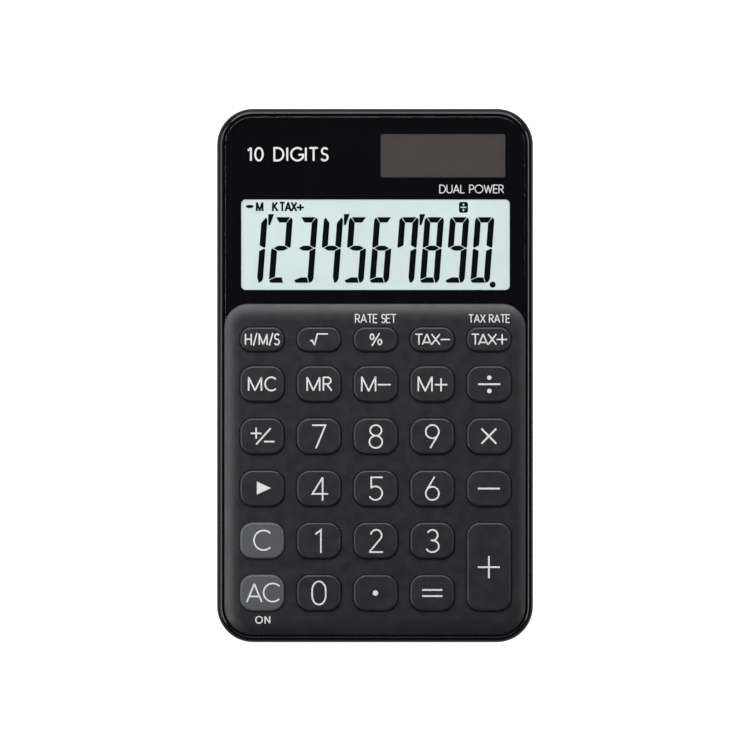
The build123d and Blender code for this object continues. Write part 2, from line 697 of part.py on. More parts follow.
CASE_HEAD = (0.35, RECESS_DEPTH, 1.5)  # bottom, top and radius
CASE_SHANK_RADIUS = 0.8
BOARD_HEAD = (1.3, BOARD_BOTTOM, 1.25)
BOARD_SHANK_RADIUS = 0.6
screws("case_screws", CASE_SCREW_SPOTS, *CASE_HEAD, CASE_SCREW_TIP, CASE_SHANK_RADIUS)
screws("board_screws", BOARD_SCREW_SPOTS, *BOARD_HEAD, BOARD_SCREW_TIP, BOARD_SHANK_RADIUS)

# Battery: can below, smaller cap above.
with BuildPart() as battery:
    with BuildSketch(Plane((*BATTERY_SPOT, BATTERY_BOTTOM))):
        Circle(BATTERY_RADIUS)
    extrude(amount=CAN_HEIGHT)
    fillet(battery.faces().group_by(Axis.Z)[0].edges(), radius=CAN_ROUND)
    fillet(battery.faces().group_by(Axis.Z)[-1].edges(), radius=CAN_SHOULDER_ROUND)
    with BuildSketch(Plane((*BATTERY_SPOT, BATTERY_BOTTOM + CAN_HEIGHT))):
        Circle(CAP_RADIUS)
    extrude(amount=CAP_HEIGHT)
    fillet(battery.faces().group_by(Axis.Z)[-1].edges(), radius=CAP_ROUND)
save(battery, "battery")

# Battery contacts: a strip on the cap or under the can that leaves through a slot in the
# well, stands up or down beside it and ends in a foot for the lead.
battery_top = BATTERY_BOTTOM + CAN_HEIGHT + CAP_HEIGHT
LEG_OFFSET = 8.2  # of a contact's upright from the battery's middle
FOOT_LENGTH = 1.9


def battery_contact(name, side, strip_bottom):
    """Make a contact that leaves the well on one side, -1 for left and 1 for right."""
    away = Align.MAX if side < 0 else Align.MIN
    upright = strip_bottom - FLOOR_TOP + CONTACT_SHEET
    with BuildPart() as piece:
        with BuildSketch(Plane.XZ.offset(-BATTERY_SPOT[1])):
            with Locations((BATTERY_SPOT[0], strip_bottom)):
                Rectangle(LEG_OFFSET, CONTACT_SHEET, align=(away, Align.MIN))
            with Locations((BATTERY_SPOT[0] + side * LEG_OFFSET, FLOOR_TOP)):
                Rectangle(CONTACT_SHEET, upright, align=(Align.CENTER, Align.MIN))
                Rectangle(FOOT_LENGTH, CONTACT_SHEET, align=(away, Align.MIN))
        extrude(amount=CONTACT_WIDTH / 2, both=True)
    save(piece, name)


battery_contact("battery_negative_contact", -1, battery_top)
battery_contact("battery_positive_contact", 1, FLOOR_TOP)

# Solder at both ends of the four leads.
BOARD_END = 10.6  # the leads reach the board's back here
FOOT_SOLDER = 1.1  # from a contact's upright to the solder on its foot
contact_solder = [
    (BATTERY_SPOT[0] + side * (LEG_OFFSET + FOOT_SOLDER), BATTERY_SPOT[1]) for side in (-1, 1)
]
cell_solder = [(23.6, 46.4), (26.6, 46.4)]
board_solder = [(x, BOARD_END) for x in (-27.0, -9.0, 23.8, 26.4)]

with BuildPart() as solder_joints:
    for spots, solder_bottom in (
        (contact_solder, FLOOR_TOP + CONTACT_SHEET),
        (cell_solder, CELL_BOTTOM - SOLDER_HEIGHT),
        (board_solder, BOARD_BOTTOM - SOLDER_HEIGHT),
    ):
        with BuildSketch(Plane.XY.offset(solder_bottom)):
            with Locations(*spots):
                RectangleRounded(SOLDER_SIZE, SOLDER_SIZE, SOLDER_CORNER)
        extrude(amount=SOLDER_HEIGHT)
save(solder_joints, "solder_joints")


# Leads: thin insulated wires from solder to solder.
def bend_radii(points):
    """As large a bend at each corner as its two runs allow."""
    radii = []
    for before, corner, after in zip(points, points[1:], points[2:]):
        run_in = Vector(corner) - Vector(before)
        run_out = Vector(after) - Vector(corner)
        half_turn = radians(run_in.get_angle(run_out) / 2)
        radii.append(BEND_SHARE * min(run_in.length, run_out.length) / tan(half_turn))
    return radii


def lead(name, points):
    """Make one lead along its route."""
    radii = bend_radii(points)
    print(name, "bend radii", [round(radius, 1) for radius in radii])
    with BuildPart() as piece:
        with BuildLine():
            route = FilletPolyline(*points, radius=radii)
        with BuildSketch(Plane(route @ 0, z_dir=route % 0)):
            Circle(LEAD_RADIUS)
        sweep(path=route)
    print(name, "volume", piece.part.volume, "section times length", pi * LEAD_RADIUS**2 * route.length)
    save(piece, name)


# Heights of the leads' middles: on the floor, beside the contacts and under the cell
lead_low = 1.55
lead_sag = 1.65
lead_fall = 1.85
contact_height = 1.55
cell_height = 3.75
cell_sag = 3.65
contact_start = BATTERY_SPOT[1] - SOLDER_SIZE / 2
cell_start = cell_solder[0][1] - SOLDER_SIZE / 2
lead_end = BOARD_END + SOLDER_SIZE / 2
LEAD_SWAY = 0.5

lead(
    "battery_negative_lead",
    [
        (contact_solder[0][0], contact_start, contact_height),
        (-28.4, 43.6, contact_height),
        (-27.6, 37.0, lead_sag),
        (-27.9, 28.0, lead_low),
        (-27.3, 19.0, lead_low),
        (board_solder[0][0], lead_end, lead_low),
    ],
)
lead(
    "battery_positive_lead",
    [
        (contact_solder[1][0], contact_start, contact_height),
        (-9.5, 42.6, contact_height),
        (-8.9, 36.0, lead_sag),
        (-9.3, 27.0, lead_low),
        (-8.8, 18.5, lead_low),
        (board_solder[1][0], lead_end, lead_low),
    ],
)
for name, start, middle_x, end in (
    ("solar_negative_lead", cell_solder[0], 25.3, board_solder[2]),
    ("solar_positive_lead", cell_solder[1], 27.4, board_solder[3]),
):
    lead(
        name,
        [
            (start[0], cell_start, cell_height),
            (start[0], 43.6, cell_sag),
            (middle_x, 39.6, lead_fall),
            (middle_x + LEAD_SWAY, 32.5, lead_low),
            (middle_x, 22.0, lead_low),
            (end[0], 15.2, lead_low),
            (end[0], lead_end, lead_low),
        ],
    )
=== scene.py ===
import json
import math

import bmesh
import bpy
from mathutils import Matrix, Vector


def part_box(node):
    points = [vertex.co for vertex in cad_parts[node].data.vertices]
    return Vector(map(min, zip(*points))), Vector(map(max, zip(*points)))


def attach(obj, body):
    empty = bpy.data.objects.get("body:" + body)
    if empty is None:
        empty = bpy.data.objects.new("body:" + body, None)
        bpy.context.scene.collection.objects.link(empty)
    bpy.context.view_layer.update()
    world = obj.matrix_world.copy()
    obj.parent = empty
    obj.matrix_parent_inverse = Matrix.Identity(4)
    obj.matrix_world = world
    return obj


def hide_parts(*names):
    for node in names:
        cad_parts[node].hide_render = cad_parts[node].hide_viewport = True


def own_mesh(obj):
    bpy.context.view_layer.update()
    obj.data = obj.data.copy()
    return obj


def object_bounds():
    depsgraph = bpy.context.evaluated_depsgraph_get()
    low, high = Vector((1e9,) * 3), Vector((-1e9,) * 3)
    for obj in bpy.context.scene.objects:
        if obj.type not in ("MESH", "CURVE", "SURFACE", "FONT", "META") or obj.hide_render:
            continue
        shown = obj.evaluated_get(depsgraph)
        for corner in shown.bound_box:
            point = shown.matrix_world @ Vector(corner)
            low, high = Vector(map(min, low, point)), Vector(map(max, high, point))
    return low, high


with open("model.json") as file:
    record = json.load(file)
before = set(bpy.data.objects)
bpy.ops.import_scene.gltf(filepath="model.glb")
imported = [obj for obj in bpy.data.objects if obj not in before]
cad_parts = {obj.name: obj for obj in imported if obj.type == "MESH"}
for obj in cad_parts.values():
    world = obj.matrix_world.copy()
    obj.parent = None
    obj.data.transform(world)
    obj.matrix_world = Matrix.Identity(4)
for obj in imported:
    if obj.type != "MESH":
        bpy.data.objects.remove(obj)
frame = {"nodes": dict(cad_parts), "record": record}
cad_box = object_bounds()

MM = 0.001
record = frame["record"]
nodes = frame["nodes"]
scene = bpy.context.scene


# ---------------------------------------------------------------- node helpers
MIX_FIRST, MIX_SECOND, MIX_RESULT = 6, 7, 2  # a Mix node's sockets for colours
DRIFT_MM = 9.0  # how far apart a moulding's lighter and darker patches lie


class Recipe:
    """A node material and the textures that drive it."""

    def __init__(self, name):
        self.material = bpy.data.materials.new(name)
        self.material.use_nodes = True
        self.tree = self.material.node_tree
        self.shader = self.tree.nodes["Principled BSDF"]
        self.place = self.tree.nodes.new("ShaderNodeTexCoord").outputs["Object"]

    def link(self, start, end):
        self.tree.links.new(start, end)

    def noise(self, size_mm, detail=2.0, stretch=(1, 1, 1)):
        """Noise whose features are about size_mm across."""
        mapping = self.tree.nodes.new("ShaderNodeMapping")
        mapping.inputs["Scale"].default_value = stretch
        self.link(self.place, mapping.inputs["Vector"])
        texture = self.tree.nodes.new("ShaderNodeTexNoise")
        texture.inputs["Scale"].default_value = 1 / (size_mm * MM)
        texture.inputs["Detail"].default_value = detail
        self.link(mapping.outputs["Vector"], texture.inputs["Vector"])
        return texture.outputs["Fac"]

    def cells(self, size_mm):
        """Voronoi cells about size_mm across, as the distance to their edges."""
        texture = self.tree.nodes.new("ShaderNodeTexVoronoi")
        texture.feature = "DISTANCE_TO_EDGE"
        texture.inputs["Scale"].default_value = 1 / (size_mm * MM)
        self.link(self.place, texture.inputs["Vector"])
        return texture.outputs["Distance"]

    def spread(self, factor, low, high, low_at=0.3, high_at=0.7):
        """The factor stretched from low to high between two of its values."""
        ranger = self.tree.nodes.new("ShaderNodeMapRange")
        ranger.inputs["From Min"].default_value = low_at
        ranger.inputs["From Max"].default_value = high_at
        ranger.inputs["To Min"].default_value = low
        ranger.inputs["To Max"].default_value = high
        self.link(factor, ranger.inputs["Value"])
        return ranger.outputs["Result"]

    def blend(self, factor, first, second):
        """A colour between two colours."""
        mix = self.tree.nodes.new("ShaderNodeMix")
        mix.data_type = "RGBA"
        self.link(factor, mix.inputs["Factor"])
        mix.inputs[MIX_FIRST].default_value = (*first, 1.0)
        mix.inputs[MIX_SECOND].default_value = (*second, 1.0)
        return mix.outputs[MIX_RESULT]


class Look(Recipe):
    """A material on one Principled shader, built up a piece at a time."""

    def __init__(self, name, colour, roughness, **sockets):
        super().__init__(name)
        self.shader.inputs["Base Color"].default_value = (*colour, 1.0)
        self.shader.inputs["Roughness"].default_value = roughness
        for socket, value in sockets.items():
            self.shader.inputs[socket.replace("_", " ")].default_value = value

    def colour(self, source):
        self.link(source, self.shader.inputs["Base Color"])

    def roughness(self, source):
        self.link(source, self.shader.inputs["Roughness"])

    def bump(self, height, depth_mm):
        """Raise the surface by up to depth_mm where height is 1."""
        bump = self.tree.nodes.new("ShaderNodeBump")
        bump.inputs["Distance"].default_value = depth_mm * MM
        self.link(height, bump.inputs["Height"])
        self.link(bump.outputs["Normal"], self.shader.inputs["Normal"])


def shaded(colour, share):
    return tuple(c * share for c in colour)


def moulded(name, colour, roughness, grain_mm, grain_depth_mm, drift=0.12):
    """Moulded plastic or rubber: fine grain, slow colour drift and uneven gloss."""
    look = Look(name, colour, roughness)
    patches = look.spread(look.noise(DRIFT_MM, 4.0), 0, 1)
    look.colour(look.blend(patches, shaded(colour, 1 - drift), shaded(colour, 1 + drift)))
    look.roughness(look.spread(look.noise(2.5, 5.0), roughness - 0.04, roughness + 0.05))
    look.bump(look.noise(grain_mm, 3.0), grain_depth_mm)
    return look


def polished(name, colour, roughness):
    """Polished black plastic with faint smears and the slightest waviness."""
    look = Look(name, colour, roughness)
    look.colour(look.blend(look.spread(look.noise(14.0, 3.0), 0, 1), colour, shaded(colour, 1.3)))
    smears = look.noise(6.0, 6.0, stretch=(1.0, 0.35, 1.0))
    look.roughness(look.spread(smears, roughness * 0.7, roughness * 1.6))
    look.bump(look.noise(3.0, 2.0), 0.0006)
    return look


def metal(name, colour, roughness, brush=(1, 12, 1)):
    """Plated metal with brushed streaks."""
    look = Look(name, colour, roughness, Metallic=1.0)
    streaks = look.noise(0.8, 4.0, stretch=brush)
    look.roughness(look.spread(streaks, roughness * 0.75, roughness * 1.3))
    look.colour(look.blend(look.spread(look.noise(2.0), 0, 1), colour, shaded(colour, 0.82)))
    look.bump(streaks, 0.002)
    return look


# ---------------------------------------------------------------- materials
# Colour, roughness, grain size and depth in millimetres, and colour drift where it isn't
# the usual.
MOULDINGS = {
    "satin_charcoal_panel": ((0.0124, 0.0118, 0.0155), 0.34, 0.16, 0.0016, 0.05),
    "textured_black_shell": ((0.013, 0.013, 0.015), 0.5, 0.35, 0.012),
    "dark_key": ((0.0152, 0.0146, 0.0186), 0.33, 0.13, 0.001, 0.05),
    "grey_key": ((0.078, 0.081, 0.094), 0.35, 0.13, 0.001, 0.05),
    "white_plastic": ((0.75, 0.75, 0.73), 0.45, 0.3, 0.006, 0.03),
    "adhesive_foam": ((0.02, 0.02, 0.02), 0.85, 0.12, 0.02),
    "carbon_rubber": ((0.012, 0.012, 0.012), 0.6, 0.1, 0.006),
    "black_epoxy": ((0.01, 0.01, 0.011), 0.22, 1.5, 0.03),
    "resistor_body": ((0.018, 0.018, 0.022), 0.4, 0.2, 0.004),
    "capacitor_body": ((0.42, 0.3, 0.18), 0.45, 0.2, 0.004),
    "red_wire": ((0.5, 0.02, 0.015), 0.35, 0.4, 0.004),
    "black_wire": ((0.012, 0.012, 0.012), 0.35, 0.4, 0.004),
}
# Colour and roughness, and the direction of the streaks where it isn't the usual.
METALS = {
    "solder": ((0.62, 0.62, 0.6), 0.35),
    "battery_can": ((0.66, 0.65, 0.62), 0.28, (8, 8, 1)),
    "spring_steel": ((0.68, 0.66, 0.6), 0.3),
    "zinc_screw": ((0.63, 0.63, 0.64), 0.32),
    "black_screw": ((0.06, 0.06, 0.065), 0.38),
}
looks = {"gloss_black_shell": polished("gloss_black_shell", (0.0035, 0.0035, 0.0045), 0.1)}
looks.update((name, moulded(name, *row)) for name, row in MOULDINGS.items())
looks.update((name, metal(name, *row)) for name, row in METALS.items())


def silicone():
    """Translucent grey silicone."""
    look = moulded("silicone", (0.52, 0.53, 0.52), 0.5, 0.5, 0.01, 0.06)
    look.shader.inputs["Subsurface Weight"].default_value = 0.3
    look.shader.inputs["Subsurface Radius"].default_value = (0.001, 0.001, 0.001)
    return look


def display_face():
    """Pale grey-green film of the display."""
    look = Look("display_face", (0.65, 0.75, 0.757), 0.35)
    clouds = look.spread(look.noise(12.0, 2.0), 0, 1)
    look.colour(look.blend(clouds, (0.635, 0.732, 0.742), (0.665, 0.767, 0.772)))
    look.roughness(look.spread(look.noise(0.4, 3.0), 0.3, 0.42))
    look.bump(look.noise(0.12, 1.0), 0.0004)
    return look


def solar():
    """Brown-grey amorphous silicon behind glass, slightly cloudy."""
    look = Look("solar_glass", (0.069, 0.0575, 0.0575), 0.16)
    clouds = look.spread(look.noise(5.0, 3.0), 0, 1)
    look.colour(look.blend(clouds, (0.067, 0.056, 0.056), (0.071, 0.0595, 0.059)))
    look.roughness(look.spread(look.noise(1.0, 3.0), 0.12, 0.2))
    return look


def board():
    """Green solder mask over copper tracks on glass-epoxy."""
    look = Look("board_laminate", (0.02, 0.14, 0.06), 0.35)
    tracks = look.spread(look.cells(2.4), 1, 0, 0.05, 0.09)
    look.colour(look.blend(tracks, (0.012, 0.11, 0.045), (0.03, 0.2, 0.08)))
    look.roughness(look.spread(look.noise(0.6, 3.0), 0.28, 0.42))
    look.bump(tracks, 0.02)
    return look


def ribbon():
    """Amber film with fine dark conductors along its length."""
    look = Look("ribbon_film", (0.4, 0.22, 0.06), 0.3)
    wave = look.tree.nodes.new("ShaderNodeTexWave")
    wave.inputs["Scale"].default_value = 320.0
    look.link(look.place, wave.inputs["Vector"])
    conductors = look.spread(wave.outputs["Fac"], 0, 1, 0.45, 0.55)
    look.colour(look.blend(conductors, (0.42, 0.23, 0.07), (0.03, 0.025, 0.02)))
    look.roughness(look.spread(look.noise(0.7), 0.24, 0.36))
    look.bump(wave.outputs["Fac"], 0.004)
    return look


def clear(name, tint, index):
    """Clear sheet: straight through it, with a faint mirror on its faces."""
    look = Recipe(name)
    nodes_of = look.tree.nodes
    through = nodes_of.new("ShaderNodeBsdfTransparent")
    through.inputs["Color"].default_value = (*tint, 1.0)
    mirror = nodes_of.new("ShaderNodeBsdfGlossy")
    smears = look.noise(7.0, 5.0, stretch=(1.0, 0.4, 1.0))
    look.link(look.spread(smears, 0.01, 0.06), mirror.inputs["Roughness"])
    fresnel = nodes_of.new("ShaderNodeFresnel")
    fresnel.inputs["IOR"].default_value = index
    # Only the face towards the light mirrors; the far face would stop light at low angles.
    front = look.spread(nodes_of.new("ShaderNodeNewGeometry").outputs["Backfacing"], 1, 0, 0, 1)
    shine = nodes_of.new("ShaderNodeMath")
    shine.operation = "MULTIPLY"
    look.link(fresnel.outputs["Fac"], shine.inputs[0])
    look.link(front, shine.inputs[1])
    mix = nodes_of.new("ShaderNodeMixShader")
    look.link(shine.outputs["Value"], mix.inputs["Fac"])
    look.link(through.outputs["BSDF"], mix.inputs[1])
    look.link(mirror.outputs["BSDF"], mix.inputs[2])
    look.link(mix.outputs["Shader"], nodes_of["Material Output"].inputs["Surface"])
    nodes_of.remove(look.shader)
    return look


def black_print():
    """Dense black ink on film."""
    look = Look("black_print", (0.003, 0.003, 0.0035), 0.14, Specular_IOR_Level=0.1)
    clouds = look.spread(look.noise(8.0), 0, 1)
    look.colour(look.blend(clouds, (0.0030, 0.0027, 0.0042), (0.0036, 0.0033, 0.0050)))
    look.roughness(look.spread(look.noise(0.5, 3.0), 0.11, 0.18))
    return look


def ink(name, colour, shine=0.5):
    """Opaque printed ink with slightly uneven cover."""
    look = Look(name, colour, 0.5, Specular_IOR_Level=shine)
    look.colour(look.blend(look.spread(look.noise(0.25, 3.0), 0, 1), shaded(colour, 0.93), colour))
    look.roughness(look.spread(look.noise(0.15, 2.0), 0.42, 0.58))
    return look


def reflector():
    """Silvery film behind the display."""
    look = Look("display_reflector", (0.62, 0.68, 0.64), 0.4, Metallic=0.6)
    look.roughness(look.spread(look.noise(0.2, 3.0), 0.32, 0.5))
    look.bump(look.noise(0.15), 0.002)
    return look


looks["silicone"] = silicone()
looks["display_face"] = display_face()
looks["solar_glass"] = solar()
looks["board_laminate"] = board()
looks["ribbon_film"] = ribbon()
looks["clear_window"] = clear("clear_window", (0.985, 0.99, 0.99), 1.49)
looks["display_glass"] = clear("display_glass", (0.9, 0.96, 0.95), 1.52)
looks["black_print"] = black_print()
looks["display_reflector"] = reflector()
white_ink = ink("white_ink", (0.7, 0.7, 0.695)).material
segment_ink = ink("segment_ink", (0.002, 0.003, 0.004), 0.03).material

for row in record["subparts"]:
    node = nodes[row["node"]]
    node.data.materials.clear()
    node.data.materials.append(looks[row["material_slot"]].material)


# ---------------------------------------------------------------- flat artwork
def new_piece(name, build, material, body):
    """A mesh made by build(bm), riding on a body. Printed ink has no slot."""
    mesh = bpy.data.meshes.new(name)
    bm = bmesh.new()
    build(bm)
    bm.normal_update()
    bm.to_mesh(mesh)
    bm.free()
    piece = bpy.data.objects.new(name, mesh)
    scene.collection.objects.link(piece)
    mesh.materials.append(material)
    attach(piece, body)
    return piece


def slab(bm, outline, bottom, top):
    """A flat closed plate with the given outline, in millimetres."""
    if sum(a[0] * b[1] - b[0] * a[1] for a, b in zip(outline, outline[1:] + outline[:1])) < 0:
        outline = outline[::-1]
    low = [bm.verts.new((x * MM, y * MM, bottom * MM)) for x, y in outline]
    high = [bm.verts.new((x * MM, y * MM, top * MM)) for x, y in outline]
    bm.faces.new(low[::-1])
    bm.faces.new(high)
    count = len(outline)
    for i in range(count):
        j = (i + 1) % count
        bm.faces.new((low[i], low[j], high[j], high[i]))


def band(bm, inner, outer, bottom, top):
    """A flat closed ring between two outlines with the same number of points."""
    rings = [
        [bm.verts.new((x * MM, y * MM, z * MM)) for x, y in outline]
        for outline, z in ((inner, bottom), (outer, bottom), (outer, top), (inner, top))
    ]
    count = len(inner)
    for ring, following in zip(rings, rings[1:] + rings[:1]):
        for i in range(count):
            j = (i + 1) % count
            bm.faces.new((ring[i], ring[j], following[j], following[i]))


def arc(cx, cy, rx, ry, start, end, steps=24):
    """Points round an ellipse from one angle to another, in degrees."""
    return [
        (
            cx + rx * math.cos(math.radians(start + (end - start) * i / steps)),
            cy + ry * math.sin(math.radians(start + (end - start) * i / steps)),
        )
        for i in range(steps + 1)
    ]


def ellipse(cx, cy, rx, ry):
    """The outline of an ellipse, each point once."""
    return arc(cx, cy, rx, ry, 0, 345, 23)


def circle(centre, radius):
    """The outline of a circle, each point once."""
    return ellipse(*centre, radius, radius)


def loop(cx, cy, rx, ry):
    """A closed ellipse, marked as closed by repeating its first point."""
    return arc(cx, cy, rx, ry, 90, 450, 40)


def offsets(points, half, closed):
    """Points to the left and right of a path, mitred at its corners."""
    count = len(points)
    left, right = [], []
    for i, here in enumerate(points):
        before = points[(i - 1) % count] if closed or i else None
        after = points[(i + 1) % count] if closed or i < count - 1 else None
        runs = []
        for a, b in ((before, here), (here, after)):
            if a is not None and b is not None:
                run = Vector((b[0] - a[0], b[1] - a[1]))
                runs.append(run.normalized())
        normals = [Vector((-run.y, run.x)) for run in runs]
        mean = sum(normals, Vector((0, 0))).normalized()
        reach = half / mean.dot(normals[0])
        left.append((here[0] + mean.x * reach, here[1] + mean.y * reach))
        right.append((here[0] - mean.x * reach, here[1] - mean.y * reach))
    return left, right


SAME_POINT = 1e-4
SHARPEST = -0.6  # cosine of the sharpest turn that one stroke takes
# Runs of one stroke and strokes of one legend each stand this much over the last, so that
# no two faces meet.
LAP = 0.0002
STEP = 0.0004
CAP_SHARE = 0.35  # how far a stroke's end runs on, in half widths
CAP_NARROWING = 0.75


def runs_of(points):
    """The path cut at its sharpest corners."""
    cuts = [0]
    for i in range(1, len(points) - 1):
        before = (Vector(points[i]) - Vector(points[i - 1])).normalized()
        after = (Vector(points[i + 1]) - Vector(points[i])).normalized()
        if before.dot(after) < SHARPEST:
            cuts.append(i)
    cuts.append(len(points) - 1)
    return [points[a : b + 1] for a, b in zip(cuts, cuts[1:])]


def cap(base, first, second, way, half):
    """Two points that end a stroke, a little past its last point."""
    ahead = way.normalized() * half * CAP_SHARE
    return [
        tuple(Vector(base) + (Vector(corner) - Vector(base)) * CAP_NARROWING + ahead)
        for corner in (first, second)
    ]


def stroke(bm, points, width, bottom, top):
    """Ink along a path, with softly rounded ends."""
    half = width / 2
    points = [points[0]] + [b for a, b in zip(points, points[1:]) if math.dist(a, b) > SAME_POINT]
    if len(points) > 2 and math.dist(points[0], points[-1]) < SAME_POINT:
        band(bm, *offsets(points[:-1], half, True), bottom, top)
        return
    for number, run in enumerate(runs_of(points)):
        left, right = offsets(run, half, False)
        start = Vector(run[0]) - Vector(run[1])
        end = Vector(run[-1]) - Vector(run[-2])
        outline = left + cap(run[-1], left[-1], right[-1], end, half)
        outline += right[::-1] + cap(run[0], right[0], left[0], start, half)
        slab(bm, outline, bottom, top + LAP * number)


# Letters and figures as pen strokes, in units of the capital height: advance, strokes.
GLYPHS = {
    " ": (0.3, []),
    "0": (0.6, [loop(0.3, 0.5, 0.3, 0.5)]),
    "1": (0.26, [[(0.0, 0.8), (0.23, 1.0), (0.23, 0.0)]]),
    "A": (0.74, [[(0.0, 0.0), (0.37, 1.0), (0.74, 0.0)], [(0.12, 0.32), (0.62, 0.32)]]),
    "D": (0.72, [[(0.0, 0.0), (0.0, 1.0), (0.25, 1.0)]
                 + arc(0.25, 0.5, 0.47, 0.5, 90, -90) + [(0.0, 0.0)]]),
    "E": (0.5, [[(0.5, 1.0), (0.0, 1.0), (0.0, 0.0), (0.5, 0.0)], [(0.0, 0.52), (0.45, 0.52)]]),
    "G": (0.86, [arc(0.5, 0.5, 0.5, 0.5, 48, 340) + [(0.97, 0.46), (0.6, 0.46)]]),
    "I": (0.0, [[(0.0, 0.0), (0.0, 1.0)]]),
    "K": (0.6, [[(0.0, 0.0), (0.0, 1.0)], [(0.56, 1.0), (0.06, 0.46)],
                [(0.16, 0.56), (0.62, 0.0)]]),
    "L": (0.46, [[(0.0, 1.0), (0.0, 0.0), (0.46, 0.0)]]),
    "M": (0.86, [[(0.0, 0.0), (0.03, 1.0), (0.43, 0.04), (0.83, 1.0), (0.86, 0.0)]]),
    "N": (0.7, [[(0.0, 0.0), (0.0, 1.0), (0.7, 0.0), (0.7, 1.0)]]),
    "O": (0.98, [loop(0.49, 0.5, 0.49, 0.5)]),
    "P": (0.52, [[(0.0, 0.0), (0.0, 1.0)],
                 [(0.0, 1.0), (0.27, 1.0)] + arc(0.27, 0.73, 0.26, 0.27, 90, -90) + [(0.0, 0.46)]]),
    "R": (0.58, [[(0.0, 0.0), (0.0, 1.0)],
                 [(0.0, 1.0), (0.27, 1.0)] + arc(0.27, 0.73, 0.26, 0.27, 90, -90) + [(0.0, 0.46)],
                 [(0.26, 0.46), (0.58, 0.0)]]),
    "S": (0.5, [arc(0.27, 0.745, 0.23, 0.255, 35, 245) + arc(0.24, 0.255, 0.255, 0.255, 62, -150)]),
    "T": (0.62, [[(0.0, 1.0), (0.62, 1.0)], [(0.31, 1.0), (0.31, 0.0)]]),
    "U": (0.66, [[(0.0, 1.0), (0.0, 0.33)] + arc(0.33, 0.33, 0.33, 0.33, 180, 360)
                 + [(0.66, 1.0)]]),
    "W": (1.0, [[(0.0, 1.0), (0.27, 0.0), (0.5, 0.95), (0.73, 0.0), (1.0, 1.0)]]),
    "X": (0.66, [[(0.0, 0.0), (0.66, 1.0)], [(0.0, 1.0), (0.66, 0.0)]]),
    "+": (0.72, [[(0.0, 0.42), (0.72, 0.42)], [(0.36, 0.06), (0.36, 0.78)]]),
}


def lettering(bm, text, centre, height, pen, bottom, top, tracking, squeeze=1.0):
    """Write text centred on a point. height is over the ink, in millimetres."""
    scale = height - pen
    gap = tracking * height
    widths = [GLYPHS[letter][0] * scale * squeeze for letter in text]
    x = centre[0] - (sum(widths) + gap * (len(text) - 1)) / 2
    y = centre[1] - scale / 2
    for letter, width in zip(text, widths):
        for number, path in enumerate(GLYPHS[letter][1]):
            placed = [(x + px * scale * squeeze, y + py * scale) for px, py in path]
            stroke(bm, placed, pen, bottom, top + STEP * number)
        x += width + gap


def disc(bm, centre, radius, bottom, top):
    slab(bm, circle(centre, radius), bottom, top)


# ---------------------------------------------------------------- legends
KEY_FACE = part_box("key_5")[1].z / MM
INK_LIFT = 0.01  # the ink's top over the face it is printed on
INK_ROOT = 0.004  # and its bottom below the face


def middle(node):
    """Plan position of a node's middle, in millimetres."""
    low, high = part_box(node)
    return ((low.x + high.x) / 2 / MM, (low.y + high.y) / 2 / MM)


def capital_a(x, foot, height, bar_share=0.2):
    """An A between two feet, with its crossbar at a share of the height."""
    low, high = -height / 2, height / 2
    rise = bar_share * height
    side = (foot - x) * bar_share / 2
    legs = [(x, low), ((x + foot) / 2, high), (foot, low)]
    return [legs, [(x + side, low + rise), (foot - side, low + rise)]]


def capital_m(x, foot, height):
    """An M between two upright stems."""
    low, high = -height / 2, height / 2
    return [[(x, low), (x, high), ((x + foot) / 2, low), (foot, high), (foot, low)]]


def letter_t(start, end, height):
    """A T under its bar."""
    stem = (start + end) / 2
    return [[(start, height / 2), (end, height / 2)], [(stem, height / 2), (stem, -height / 2)]]


def crossed(x, foot, height):
    """An X."""
    return [[(x, -height / 2), (foot, height / 2)], [(x, height / 2), (foot, -height / 2)]]


def level_bar(start, end, y):
    return [[(start, y), (end, y)]]


def upright_bar(x, low, high):
    return [[(x, low), (x, high)]]


